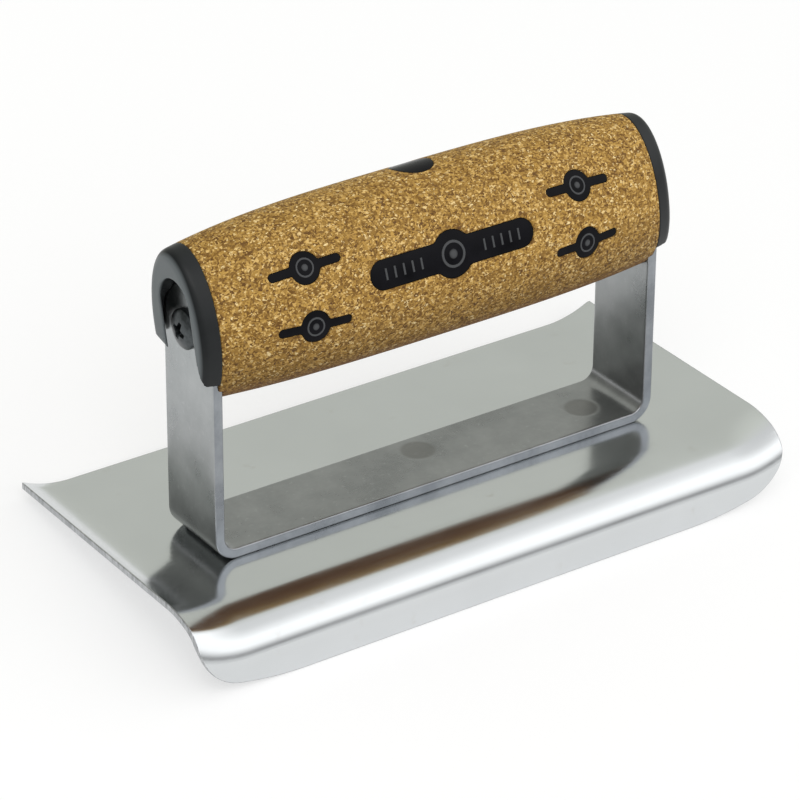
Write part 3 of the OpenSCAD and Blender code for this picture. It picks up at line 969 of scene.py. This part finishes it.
def inlay_plastic():
    """Glossy black plastic with a faint grain, and reliefs painted paler: partly their own grey, partly a
    painted highlight.
    """
    f = Finish("inlay_plastic", **{"Specular_IOR_Level": 0.06})
    fine = f.noise(3000.0, 2.0)["Fac"]
    haze = f.noise(200.0, 3.0)["Fac"]
    black = f.ramp(haze, [(0.3, (0.004, 0.004, 0.005)), (0.7, (0.007, 0.007, 0.009))])
    # The raised reliefs get a paler grey base colour: partly their own grey, partly a painted highlight for
    # their lit edges.
    f.set("Base Color", f.mix(f.span(f.stored("raised"), 0.1, 0.9), black, (0.075, 0.077, 0.08)))
    f.set("Roughness", f.span(haze, 0.3, 0.7, 0.20, 0.30))
    f.bump(fine, 0.000004, 0.4)
    return f.material


def screw_steel():
    """Blackened steel, brighter where it has rubbed."""
    f = Finish("screw_steel", Metallic=1.0)
    cloud = f.noise(700.0, 4.0, 0.6)["Fac"]
    f.set("Base Color", f.ramp(cloud, [(0.35, (0.05, 0.056, 0.058)), (0.7, (0.105, 0.115, 0.12))]))
    f.set("Roughness", f.span(cloud, 0.3, 0.7, 0.28, 0.42))
    f.bump(cloud, 0.00001, 0.5)
    return f.material


def core_plastic():
    """Dull moulded plastic inside the handle."""
    f = Finish("core_plastic")
    fine = f.noise(2500.0, 2.0)["Fac"]
    f.set("Base Color", f.ramp(fine, [(0.3, (0.012, 0.012, 0.013)), (0.7, (0.022, 0.022, 0.024))]))
    f.set("Roughness", f.span(fine, 0.3, 0.7, 0.45, 0.6))
    f.bump(fine, 0.00001, 0.4)
    return f.material


def insert_brass():
    """Turned brass."""
    f = Finish("insert_brass", Metallic=1.0)
    turned = f.noise(1.0, 2.0, place=f.stretched((6000, 200, 200)))["Fac"]
    f.set("Base Color", f.ramp(turned, [(0.3, (0.62, 0.42, 0.16)), (0.7, (0.75, 0.54, 0.24))]))
    f.set("Roughness", f.span(turned, 0.3, 0.7, 0.22, 0.34))
    f.bump(turned, 0.000004, 0.5)
    return f.material


# ---- The object ----

def finish_piece(piece, nodes, material):
    """Gives a piece its material, slot and body, and hides the CAD nodes that it stands for."""
    piece.data.materials.clear()
    piece.data.materials.append(material)
    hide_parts(*nodes)
    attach(piece, "root")


finish_piece(build_blade(), ["blade"], polished_steel())
finish_piece(build_bracket(), ["bracket"], bar_steel())
finish_piece(build_cork(), ["cork_sleeve"], cork())

rubber = cap_rubber()
blackened = screw_steel()
for end, end_side in (("left", -1), ("right", 1)):
    finish_piece(build_cap(f"end_cap_{end}", end_side), [f"cap_{end}"], rubber)
    finish_piece(build_screw(f"handle_screw_{end}", end_side), [f"screw_{end}"], blackened)

plastic = inlay_plastic()
reliefs = {PLAQUE: plaque_relief(), SMALL: small_relief(), CREST: []}
for plate, node, badge, x, tilt, face_side in inlay_places():
    made = build_inlay(plate, badge, x, tilt, face_side, reliefs[badge])
    finish_piece(made, [node], plastic)

hidden_finishes = {"handle_core": core_plastic()}
hidden_finishes["insert_left"] = hidden_finishes["insert_right"] = insert_brass()
for node, material in hidden_finishes.items():
    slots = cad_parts[node].material_slots
    for place in slots:
        place.material = material


# ---- Floor, light and camera ----

def build_floor():
    """A pale floor just under the lip's edge and the blade's far edge."""
    half, clearance = 0.32, 0.05 * MM
    slope = math.atan2(-LIP_BOTTOM, FAR_Y - LIP_Y)
    work = bmesh.new()
    bmesh.ops.create_grid(work, x_segments=24, y_segments=24, size=half)
    for face in work.faces:
        face.smooth = True
    mesh = bpy.data.meshes.new("floor")
    work.to_mesh(mesh)
    work.free()
    floor = bpy.data.objects.new("floor", mesh)
    bpy.context.scene.collection.objects.link(floor)
    touch = Vector((0, LIP_Y, LIP_BOTTOM))
    floor.matrix_world = (
        Matrix.Translation(touch)
        @ Matrix.Rotation(slope, 4, "X")
        @ Matrix.Translation((0, -LIP_Y, -clearance))
    )
    f = Finish("floor", Roughness=0.9)
    f.set("Base Color", (0.45, 0.45, 0.45))
    f.set("Emission Color", (1, 1, 1))
    f.set("Emission Strength", 0.55)
    mesh.materials.append(f.material)
    return floor


def add_softbox(name, place, target, width, height, power):
    """A plain rectangular studio light."""
    light = bpy.data.lights.new(name, "AREA")
    light.shape = "RECTANGLE"
    light.size = width
    light.size_y = height
    light.energy = power
    lamp = bpy.data.objects.new(name, light)
    bpy.context.scene.collection.objects.link(lamp)
    place, target = Vector(place), Vector(target)
    aim = (target - place).to_track_quat("-Z", "Y")
    lamp.matrix_world = Matrix.Translation(place) @ aim.to_matrix().to_4x4()
    return lamp


def build_world():
    """A pale studio: white to the camera, grey behind the object, darker low down and to the left."""
    world = bpy.data.worlds.new("studio")
    bpy.context.scene.world = world
    world.use_nodes = True
    tree = world.node_tree
    tree.nodes.clear()

    def add(kind, **settings):
        node = tree.nodes.new(kind)
        for key, value in settings.items():
            setattr(node, key, value)
        return node

    def curve(value, stops):
        node = add("ShaderNodeValToRGB")
        tree.links.new(value, node.inputs[0])
        elements = node.color_ramp.elements
        while len(elements) < len(stops):
            elements.new(1)
        for element, (position, level) in zip(elements, stops):
            element.position = position
            element.color = (level, level, level, 1)
        return node.outputs["Color"]

    def blend(kind, factor, first, second):
        node = add("ShaderNodeMix", data_type="RGBA", blend_type=kind)
        for socket, value in zip((node.inputs[0], node.inputs[6], node.inputs[7]), (factor, first, second)):
            if isinstance(value, bpy.types.NodeSocket):
                tree.links.new(value, socket)
            else:
                socket.default_value = value
        return node.outputs[2]

    def shifted(value):
        node = add("ShaderNodeMath", operation="MULTIPLY_ADD")
        tree.links.new(value, node.inputs[0])
        node.inputs[1].default_value = 0.5
        node.inputs[2].default_value = 0.5
        return node.outputs[0]

    direction = add("ShaderNodeSeparateXYZ")
    tree.links.new(add("ShaderNodeTexCoord").outputs["Generated"], direction.inputs[0])
    upward = shifted(direction.outputs["Z"])
    low_ahead = [(0.0, 0.95), (0.46, 0.85), (0.49, 0.42), (0.525, 0.4), (0.57, 0.85)]
    high_ahead = [(0.65, 1.5), (0.8, 1.6), (0.92, 1.0), (1.0, 0.85)]
    ahead = curve(upward, low_ahead + high_ahead)
    behind_stops = [(0.0, 0.9), (0.48, 0.8), (0.55, 0.66), (0.74, 0.66), (0.9, 0.70), (1.0, 0.85)]
    behind = curve(upward, behind_stops)
    behind = blend("MULTIPLY", 1.0, behind, (0.98, 1.0, 0.92, 1))
    turn = curve(shifted(direction.outputs["Y"]), [(0.0, 0), (0.5, 0), (0.63, 1), (1.0, 1)])
    across = curve(shifted(direction.outputs["X"]), [(0.0, 0.35), (0.25, 0.45), (0.4, 1.0), (1.0, 1.0)])
    room = add("ShaderNodeBackground")
    tree.links.new(blend("MULTIPLY", 1.0, across, blend("MIX", turn, ahead, behind)), room.inputs["Color"])
    white = add("ShaderNodeBackground")
    white.inputs["Color"].default_value = (1, 1, 1, 1)
    choose = add("ShaderNodeMixShader")
    tree.links.new(add("ShaderNodeLightPath").outputs["Is Camera Ray"], choose.inputs[0])
    tree.links.new(room.outputs[0], choose.inputs[1])
    tree.links.new(white.outputs[0], choose.inputs[2])
    tree.links.new(choose.outputs[0], add("ShaderNodeOutputWorld").inputs["Surface"])


def add_camera():
    """The camera at the reference view's angle and distance."""
    azimuth, elevation, roll = (math.radians(a) for a in (-34.63, 28.87, 0.38))
    aim = Vector((1.35, 8.09, 14.97)) * MM
    distance = 894 * MM
    back = Vector((
        math.sin(azimuth) * math.cos(elevation),
        -math.cos(azimuth) * math.cos(elevation),
        math.sin(elevation),
    ))
    data = bpy.data.cameras.new("camera")
    data.lens = 184.67
    data.sensor_width = 36
    data.clip_start = 0.01
    data.clip_end = 20
    camera = bpy.data.objects.new("camera", data)
    bpy.context.scene.collection.objects.link(camera)
    turn = (-back).to_track_quat("-Z", "Y") @ Quaternion((0, 0, 1), roll)
    camera.matrix_world = Matrix.Translation(aim + back * distance) @ turn.to_matrix().to_4x4()
    bpy.context.scene.camera = camera


build_floor()
build_world()
add_softbox("key", (-0.35, -0.45, 0.75), (0, 0, 0.03), 0.5, 0.5, 1.5)
add_camera()
bpy.context.scene.view_settings.view_transform = "Standard"
